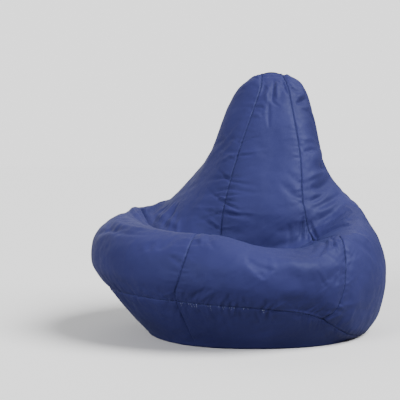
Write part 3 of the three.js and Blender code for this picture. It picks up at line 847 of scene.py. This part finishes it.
def metal():
    mat, tree, bsdf = material("nickel", (0.6, 0.6, 0.58), 0.3, 1.0)
    brushed = node(tree, "ShaderNodeMapping", {"Vector": place(tree), "Scale": (300, 300, 2500)})
    grain = noise(tree, 1.0, 2.0, at=brushed.outputs[0])
    tree.links.new(ramp(tree, grain, (0.3, 0.24), (0.7, 0.42)), bsdf.inputs["Roughness"])
    bump(tree, bsdf, (grain, 0.0001, 0.3))
    return mat


def coil():
    mat, tree, bsdf = material("nylon_coil", (0.014, 0.018, 0.055), 0.38)
    grain = noise(tree, 900.0, 2.0)
    tree.links.new(ramp(tree, grain, (0.3, 0.32), (0.7, 0.48)), bsdf.inputs["Roughness"])
    bump(tree, bsdf, (grain, 0.0001, 0.3))
    return mat


BEADS, METAL, COIL = beads(), metal(), coil()


def dress(ob, mat, body="bag", replaces=()):
    ob.data.materials.clear()
    ob.data.materials.append(mat)
    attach(ob, body)
    if replaces:
        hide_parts(*replaces)
    return ob


# ---------------------------------------------------------------- the cover's panels

front = {"start": RIGHT, "end": LEFT}
cover_panel("seat_cover", ["seat_panel"], (0, 1), (HEM, CREASE), **front, low=HEM_SEAM, high=CREASE_SEAM)
cover_panel("back_cover", ["back_panel"], (0, 1), (CREASE, TOP), **front, low=CREASE_SEAM, high=CROWN_SEAM)
for name, u0, first, last in (("left", 1, LEFT, REAR_LEFT), ("right", 3, REAR_RIGHT, RIGHT)):
    span, edges = (u0, u0 + 1), {"start": first, "end": last, "low": HEM_SEAM}
    cover_panel(f"side_cover_{name}", [f"side_panel_{name}"], span, (HEM, TOP - 0.02), 0.005, **edges)
rear = {"start": REAR_LEFT, "end": REAR_RIGHT}
cover_panel("rear_cover", ["rear_panel"], (2, 3), (HEM, TOP), **rear, low=HEM_SEAM, high=CROWN_SEAM)
for name, u0 in (("front", 3), ("rear", 1)):
    span, edges = (u0, u0 + 2), {"start": JOINT, "end": JOINT, "high": HEM_SEAM}
    cover_panel(f"base_cover_{name}", [f"base_panel_{name}"], span, (-0.999, HEM), **edges)

# ---------------------------------------------------------------- inside the cover

LINER_INSET, LINER_THICKNESS, FILL_INSET = 0.0192, 0.0008, 0.0262


def inner_skin(name, inset):
    """A closed skin that lies evenly inside the plain cover."""
    u = np.linspace(0, 4, 145)[:-1]
    v = np.concatenate([[-0.7, -0.35], even_rows(0, TOP - 0.35, 0.016)])
    p = loft(u, v) - inset * slopes(loft, u, v)
    p[..., 2] = np.maximum(p[..., 2], inset * 0.7)
    m, n = p.shape[:2]
    ends = [p[:, 0].mean(0), p[:, -1].mean(0)]
    faces = quads(m, n, wrap=True).tolist()
    for i in range(m):
        a, b = i * n, (i + 1) % m * n
        faces += [(m * n, a, b), (m * n + 1, b + n - 1, a + n - 1)]
    return mesh_object(name, np.concatenate([p.reshape(-1, 3), ends]), faces)


def liner_half(name, node_name, keep_front):
    ob = inner_skin(name, LINER_INSET)
    bm = bmesh.new()
    bm.from_mesh(ob.data)
    split = ORIGIN[1] + RINGS["lumbar"][0][1] / 1000
    bmesh.ops.bisect_plane(
        bm,
        geom=bm.verts[:] + bm.edges[:] + bm.faces[:],
        plane_co=(0, split - 0.0005 if keep_front else split + 0.0005, 0),
        plane_no=(0, 1, 0),
        clear_outer=keep_front,
        clear_inner=not keep_front,
    )
    bm.to_mesh(ob.data)
    bm.free()
    thicken(ob, LINER_THICKNESS)
    dress(ob, LINER, replaces=[node_name])


liner_half("liner_bag_front", "liner_front", True)
liner_half("liner_bag_rear", "liner_rear", False)
filling = inner_skin("bead_filling", FILL_INSET)
dress(filling, BEADS, replaces=["bead_fill"])

# ---------------------------------------------------------------- thread


def stitches(
    name, lines, radius=0.00034, length=0.0026, gap=0.0011, lift=0.0002, mat=THREAD
):
    """Thread lying along each line as separate stitches. A line is its points and the normals there."""
    rings, sides = np.linspace(0, 1, 5), 6
    a = np.linspace(0, 2 * np.pi, sides + 1)[:-1]
    points, faces = [], []
    for p, n in lines:
        s = length_up_to(p)
        starts = np.arange(gap / 2, s[-1] - length, length + gap)
        at = starts[:, None] + rings * length
        centre = np.stack([np.interp(at, s, p[:, k]) for k in range(3)], -1)
        up = unit(np.stack([np.interp(at, s, n[:, k]) for k in range(3)], -1))
        centre += up * (lift * np.sin(np.pi * rings))[None, :, None]
        along = unit(centre[:, -1:] - centre[:, :1])
        side = unit(np.cross(along, up))
        thick = radius * np.array([0.45, 0.9, 1, 0.9, 0.45])
        turn = a[None, None, :, None]
        ring = side[:, :, None] * np.cos(turn) + up[:, :, None] * np.sin(turn)
        got = (centre[:, :, None] + ring * thick[None, :, None, None]).reshape(-1, 3)
        base = sum(len(q) for q in points)
        points.append(got)
        for k in range(len(starts)):
            first = base + k * len(rings) * sides
            for j in range(len(rings) - 1):
                for i in range(sides):
                    q = first + j * sides + i
                    r = first + j * sides + (i + 1) % sides
                    faces.append((q, r, r + sides, q + sides))
            faces.append(tuple(first + i for i in reversed(range(sides))))
            faces.append(tuple(first + (len(rings) - 1) * sides + i for i in range(sides)))
    ob = mesh_object(name, np.concatenate(points), faces)
    return dress(ob, mat)


def on_cover(u, v, height):
    """A line on the cover, in mm off the filled skin, with its normals."""
    p = cover_line(u, v)
    n = np.concatenate([slopes(cover, u[i : i + 1], v[i : i + 1])[0] for i in range(len(u))])
    return p + n * height / 1000, n


def seam_line(kind, at, start, end, height=-GROOVE - PILLOW + 0.5):
    along = np.linspace(start, end, 160)
    fixed = np.full(160, float(at))
    return on_cover(fixed, along, height) if kind == "u" else on_cover(along, fixed, height)


for at, name in enumerate(("front_right", "front_left", "rear_left", "rear_right")):
    stitches(f"seam_thread_{name}", [seam_line("u", at, HEM + 0.05, TOP - 0.3)])
stitches("seam_thread_hem", [seam_line("v", HEM, k + 0.01, k + 0.99) for k in range(4)])
stitches("seam_thread_crease", [seam_line("v", CREASE, 0.02, 0.98)])


def thread_ends():
    """Short bits of loose sewing thread along the front of the hem."""
    r = np.random.default_rng(5)
    lines = []
    for u in np.sort(r.uniform(0.42, 0.97, 24)):
        lean, long = r.uniform(-0.012, 0.012), r.uniform(0.05, 0.16)
        us = np.linspace(u, u + lean, 6)
        vs = np.linspace(HEM + 0.02, HEM - long, 6)
        lines.append(on_cover(us, vs, -1.2))
    return stitches(
        "hem_thread_ends", lines, radius=0.0005, length=0.0045, gap=0.003, lift=0.0009, mat=PALE_THREAD
    )


thread_ends()

# ---------------------------------------------------------------- the zip


def blocks(name, boxes, bevel, mat, body, replaces):
    """Bevelled blocks in the zip's frame, each as its low and high corner in millimetres."""
    bm = bmesh.new()
    for low, high in boxes:
        made = bmesh.ops.create_cube(bm, size=1)["verts"]
        for vert in made:
            local = [lo + (c + 0.5) * (hi - lo) for c, lo, hi in zip(vert.co, low, high)]
            vert.co = in_zip_frame(*local)
        bm.normal_update()
        edges = {e for vert in made for e in vert.link_edges}
        bmesh.ops.bevel(bm, geom=list(edges), offset=bevel / 1000, segments=2, affect="EDGES", profile=0.6)
    ob = from_bmesh(name, bm)
    ob.data.polygons.foreach_set("use_smooth", [True] * len(ob.data.polygons))
    return dress(ob, mat, body, replaces)


TEETH_PITCH = 2.9


def zip_row(name, side):
    """One side of the zip: a tape with a corded edge, and the teeth clamped to it."""
    x = np.linspace(-212, 212, 213)
    outline = [(2.4, 2.75), (2.7, 2.6), (3.3, 2.6), (3.8, 2.75), (8, 2.72), (14.6, 2.7), (15.4, 2.8)]
    outline += [(15.4, 3.2), (14.6, 3.3), (8, 3.28), (3.8, 3.25), (3.3, 3.4), (2.7, 3.4), (2.4, 3.25)]
    ripple = 0.08 * np.sin(x / 7.0) * np.sin(x / 23.0)
    points = np.stack([in_zip_frame(x, side * y, z + ripple * (y > 4)) for y, z in outline], 1)
    m, n = points.shape[:2]
    faces = quads(n, m, wrap=True)
    i, j = faces // m, faces % m
    faces = (j * n + i).tolist()
    faces += [list(range(n)), list(range((m - 1) * n, m * n))[::-1]]
    tape = mesh_object(f"zip_band_{name}", points, faces)
    dress(tape, TAPE, replaces=[f"zip_tape_{name}"])
    first = -193 + (TEETH_PITCH / 2 if side < 0 else 0)
    teeth = []
    for x in np.arange(first, 193 - TEETH_PITCH / 2, TEETH_PITCH):
        y = sorted((side * 0.62, side * 2.1))
        teeth.append(((x, y[0], 1.9), (x + 1.5, y[1], 4.1)))
    blocks(f"zip_row_{name}", teeth, 0.35, COIL, "bag", [f"zip_teeth_{name}"])
    sewn = in_zip_frame(x=np.linspace(-206, 206, 60), y=side * 12.6, z=2.68)
    stitches(f"zip_thread_{name}", [(sewn, np.tile([0, 0, -1.0], (60, 1)))])


zip_row("front", 1)
zip_row("rear", -1)
for name, x in (("closed", -199), ("open", 195)):
    boxes = [((x, -1.5, low), (x + 4, 1.5, low + 0.85)) for low in (1.9, 3.25)]
    boxes.append(((x + 1, -0.3, 2.5), (x + 3, 0.3, 3.5)))
    blocks(f"zip_staple_{name}", boxes, 0.25, METAL, "bag", [f"zip_stop_{name}"])


def slider():
    """Two flared plates with turned-in flanges, joined by a neck between the rows of teeth."""
    outline = [(0, 2.9), (0.5, 3.8), (1.6, 4.4), (3.2, 4.5), (8, 4.4), (11.5, 3.9), (13.4, 3.3), (14, 2.4)]
    outline += [(x, -y) for x, y in reversed(outline)]
    bm = bmesh.new()
    start = -ZIP_LENGTH * 500 + 6
    for low, high in ((0.4, 1.6), (4.4, 5.6)):
        rings = []
        for z, grow in ((low, 0.88), (low + 0.35, 1), (high - 0.35, 1), (high, 0.88)):
            places = [(start + 7 + (x - 7) * (1 + grow) / 2, y * grow) for x, y in outline]
            rings.append([bm.verts.new(in_zip_frame(x, y, z)) for x, y in places])
        count = len(outline)
        for lower, upper in zip(rings, rings[1:]):
            for i in range(count):
                bm.faces.new((lower[i], upper[i], upper[(i + 1) % count], lower[(i + 1) % count]))
        bm.faces.new(rings[0])
        bm.faces.new(reversed(rings[-1]))
    bmesh.ops.recalc_face_normals(bm, faces=bm.faces)
    dress(from_bmesh("zip_runner", bm), METAL, "zip_slider", ["zip_slider"])
    flanges = [
        ((start + 3, y - 0.35, z), (start + 11, y + 0.35, z + 0.7)) for y in (4.1, -4.1) for z in (1.5, 3.8)
    ]
    neck = [((start + 0.8, -0.28, 1.4), (start + 9, 0.28, 4.6))]
    lug = [((start + 4, -1.2, 0.1), (start + 9, 1.2, 0.6))]
    blocks("zip_runner_neck", flanges + neck + lug, 0.15, METAL, "zip_slider", [])


slider()

# ---------------------------------------------------------------- the carry handle

WEBBING_HALF, WEBBING_THICK = 16.0, 2.0
PATCH_HALF, PATCH_LOW, PATCH_HIGH = 23.0, -10.0, 36.0
TAB_LOW, TAB_HIGH, TAB_LIFT = 3.3, 24.0, 1.8
LOOP_END, LOOP_RADIUS, STITCHED = 104.0, 13.0, 15.0
HINGE = next(np.array(j["pos_m"], float) for j in frame["joints"] if j["name"] == "handle_swing")
REST = math.radians(-5)
at_u, at_v = at_handle = np.array([HANDLE_U]), np.array([HANDLE_V])
MM_PER_U = 1000 * np.linalg.norm(loft(at_u + 0.01, at_v) - loft(at_u - 0.01, at_v)) / 0.02
MM_PER_V = 1000 * np.linalg.norm(loft(at_u, at_v + 0.01) - loft(at_u, at_v - 0.01)) / 0.02


def badge_line(x, up, lift):
    """A line on the rear panel, in millimetres across and up from the hinge and off the panel."""
    return on_cover(HANDLE_U + np.asarray(x) / MM_PER_U, HANDLE_V + np.asarray(up) / MM_PER_V, lift)


def badge(name, half, low, high, lift, thickness, edge, mat, slot, replaces):
    """A sheet on the rear panel whose edges are pressed down by an amount in mm."""
    steps = np.array([0, 0.4, 1, 2, 3.4, 5])
    across = np.concatenate([-half + steps, np.linspace(-half + 6.5, half - 6.5, 16), half - steps[::-1]])
    up = np.concatenate([low + steps, np.linspace(low + 6, high - 6, 14), high - steps[::-1]])
    u, v = HANDLE_U + across / MM_PER_U, HANDLE_V + up / MM_PER_V
    p, n = cover(u, v), slopes(cover, u, v)
    off_sides, off_ends = np.minimum(across + half, half - across), np.minimum(up - low, high - up)
    d = np.minimum(off_sides[:, None], off_ends[None, :])
    top = lift + thickness - edge * np.exp(-((d / 1.6) ** 2))
    ob = mesh_object(name, p + n * top[..., None] / 1000, quads(len(u), len(v)))
    thicken(ob, (thickness - edge) / 1000)
    return dress(ob, mat, replaces=replaces)


def rectangle(half, low, high):
    corners = [(-half, low), (half, low), (half, high), (-half, high), (-half, low)]
    sides = [np.linspace(a, b, 20) for a, b in zip(corners, corners[1:])]
    return [(side[:, 0], side[:, 1]) for side in sides]


def crossed(half, low, high):
    diagonals = [(np.linspace(-half, half, 30), np.linspace(*ends, 30)) for ends in ((low, high), (high, low))]
    return rectangle(half, low, high) + diagonals


patch = (PATCH_HALF, PATCH_LOW, PATCH_HIGH, 0.3, 1.2, 0.5)
badge("handle_backing", *patch, NYLON, "cover_fabric", ["handle_patch"])
tab = (WEBBING_HALF, TAB_LOW, TAB_HIGH, TAB_LIFT, 2.1, 0.3)
badge("handle_tab_layer", *tab, WEBBING, "webbing", ["handle_tab"])
fold = (WEBBING_HALF, TAB_LOW + 0.4, TAB_HIGH, TAB_LIFT + 2.5, 2.1, 0.3)
badge("handle_tab_fold", *fold, WEBBING, "webbing", [])
patch_lines = [badge_line(x, y, 1.3) for x, y in rectangle(20.2, PATCH_LOW + 2.8, PATCH_HIGH - 2.8)]
stitches("handle_backing_thread", patch_lines)
tab_lines = [badge_line(x, y, 6.5) for x, y in crossed(13, TAB_LOW + 3, TAB_HIGH - 3)]
stitches("handle_tab_thread", tab_lines, mat=PALE_THREAD)


def handle_axes():
    """Down the loop and away from the chair, at the handle's rest angle."""
    out = slopes(loft, *at_handle)[0, 0] * [0, 1, 1]
    out /= np.linalg.norm(out)
    down = np.array([0, out[2], -out[1]])
    c, s = math.cos(REST), math.sin(REST)
    return [np.array([0, w[1] * c - w[2] * s, w[1] * s + w[2] * c]) for w in (down, out)]


def loop_line(count):
    """The middle of the webbing round the loop, in mm down from the hinge and away from the chair."""
    root = WEBBING_THICK / 2 + 0.3
    t = np.linspace(0, 1, count)[:, None]
    knots = ((0, root), (0.4 * LOOP_END, root), (0.55 * LOOP_END, LOOP_RADIUS), (LOOP_END, LOOP_RADIUS))
    a, b, c, d = (np.array(q) for q in knots)
    flank = (1 - t) ** 3 * a + 3 * (1 - t) ** 2 * t * b + 3 * (1 - t) * t**2 * c + t**3 * d
    bend = np.linspace(np.pi / 2, -np.pi / 2, 24)[1:-1]
    tip = np.stack([LOOP_END + LOOP_RADIUS * np.cos(bend), LOOP_RADIUS * np.sin(bend)], 1)
    heel = np.linspace(-np.pi / 2, -3 * np.pi / 2, 12)[1:-1]
    back = np.stack([root * np.cos(heel), root * np.sin(heel)], 1)
    return np.concatenate([flank, tip, flank[::-1] * [1, -1], back])


def handle():
    down, out = handle_axes()
    line = loop_line(60)
    ahead = np.roll(line, -1, 0) - np.roll(line, 1, 0)
    side = np.stack([-ahead[:, 1], ahead[:, 0]], 1)
    side /= np.linalg.norm(side, axis=1, keepdims=True)
    t = WEBBING_THICK / 2
    half = [(-15.2, 1), (-9, 1), (0, 1), (9, 1), (15.2, 1), (15.8, 0.6), (16, 0)]
    section = half + [(x, -y) for x, y in reversed(half[:-1])] + [(-15.8, -0.6), (-16, 0), (-15.8, 0.6)]

    def place_at(q):
        return HINGE + (q[..., :1] * down + q[..., 1:] * out) / 1000

    points = np.stack([place_at(line + side * y * t) + np.array([x / 1000, 0, 0]) for x, y in section], 1)
    m, n = points.shape[:2]
    i, j = np.meshgrid(np.arange(m), np.arange(n), indexing="ij")
    a, b = i * n + j, (i + 1) % m * n + j
    c, d = (i + 1) % m * n + (j + 1) % n, i * n + (j + 1) % n
    faces = np.stack([a, b, c, d], -1).reshape(-1, 4)
    ob = mesh_object("carry_loop", points, faces)
    bm = bmesh.new()
    bm.from_mesh(ob.data)
    bmesh.ops.recalc_face_normals(bm, faces=bm.faces)
    bm.to_mesh(ob.data)
    bm.free()
    dress(ob, WEBBING, "carry_handle", ["carry_handle"])
    lines = []
    for x, z in crossed(13, 3, STITCHED - 1):
        for face in (1, -1):
            y = np.interp(z, line[:60, 0], line[:60, 1]) + t + 0.1
            q = place_at(np.stack([z, face * y], 1)) + np.stack([x / 1000, 0 * x, 0 * x], 1)
            lines.append((q, np.tile(face * out, (len(x), 1))))
    thread = stitches("carry_loop_thread", lines, mat=PALE_THREAD)
    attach(thread, "carry_handle")


handle()


def care_label():
    """A blank satin label, caught in the rear-left seam."""
    u, v = np.linspace(2.02, 2.16, 24), np.linspace(3.4, 3.95, 24)
    p, n = cover(u, v), slopes(cover, u, v)
    off_seam = (u - 2.02) / 0.14
    lift = 0.6 + 1.4 * np.minimum(off_seam * 4, 1) + 1.0 * off_seam**3
    ob = mesh_object("care_tag", p + n * lift[:, None, None] / 1000, quads(24, 24))
    thicken(ob, 0.0004, offset=1)
    dress(ob, LABEL, replaces=["care_label"])
    line = on_cover(np.full(30, 2.04), np.linspace(3.44, 3.91, 30), 2.1)
    stitches("care_tag_thread", [line], length=0.002, gap=0.001)


care_label()

# ---------------------------------------------------------------- studio

# Soft suns: where they shine from, how bright, and how wide they look in degrees.
SUNS = [
    ("key", (0.95, -0.32, 1.2), 5.1, 36),
    ("fill", (-1.15, -1.2, 0.75), 2.25, 35),
    ("back", (-0.4, 1.4, 0.8), 0.9, 80),
]
WORLD_LIGHT = 0.2
CAMERA_AT, CAMERA_LENS = (-0.2207, -4.2037, 0.8), 117.8
CAMERA_DOWN, CAMERA_TURN = 5.194, -1.3  # degrees
FLOOR = 0.95
FLOOR_BOUNCE = 0.3  # what the floor throws back at the chair, so that the underside keeps its shading


def split_rays(tree, output, lit, seen):
    """Lets the camera see one shader while everything else meets the other."""
    by_eye = node(tree, "ShaderNodeLightPath").outputs["Is Camera Ray"]
    mix = node(tree, "ShaderNodeMixShader", {0: by_eye, 1: lit.outputs[0], 2: seen.outputs[0]})
    tree.links.new(mix.outputs[0], tree.nodes[output].inputs["Surface"])


def studio():
    floor = mesh_object("floor", [(-8, -8, 0), (8, -8, 0), (8, 8, 0), (-8, 8, 0)], [(0, 1, 2, 3)])
    mat, tree, bsdf = material("pale_floor", (FLOOR, FLOOR, FLOOR), 1.0)
    dim = node(tree, "ShaderNodeBsdfDiffuse", {"Color": (FLOOR_BOUNCE, FLOOR_BOUNCE, FLOOR_BOUNCE, 1)})
    split_rays(tree, "Material Output", dim, bsdf)
    floor.data.materials.append(mat)
    world = bpy.data.worlds.new("studio")
    world.use_nodes = True
    tree = world.node_tree
    seen = tree.nodes["Background"]
    lit = sum(e * Vector(source).normalized().z for _, source, e, _ in SUNS) / math.pi + WORLD_LIGHT
    seen.inputs["Strength"].default_value = FLOOR * lit
    seen.inputs["Color"].default_value = (1, 1, 1, 1)
    light = node(tree, "ShaderNodeBackground", {"Color": (1, 1, 1, 1), "Strength": WORLD_LIGHT})
    split_rays(tree, "World Output", light, seen)
    bpy.context.scene.world = world
    for name, source, strength, angle in SUNS:
        light = bpy.data.lights.new(name, "SUN")
        light.energy = strength
        light.angle = math.radians(angle)
        ob = linked(name, light)
        ob.location = source
        ob.rotation_euler = Vector(source).to_track_quat("Z", "Y").to_euler()
    camera = bpy.data.cameras.new("camera")
    camera.lens = CAMERA_LENS
    camera.sensor_width = 36
    ob = linked("camera", camera)
    ob.location = CAMERA_AT
    ob.rotation_euler = (math.radians(90 - CAMERA_DOWN), 0, math.radians(CAMERA_TURN))
    bpy.context.scene.camera = ob


studio()
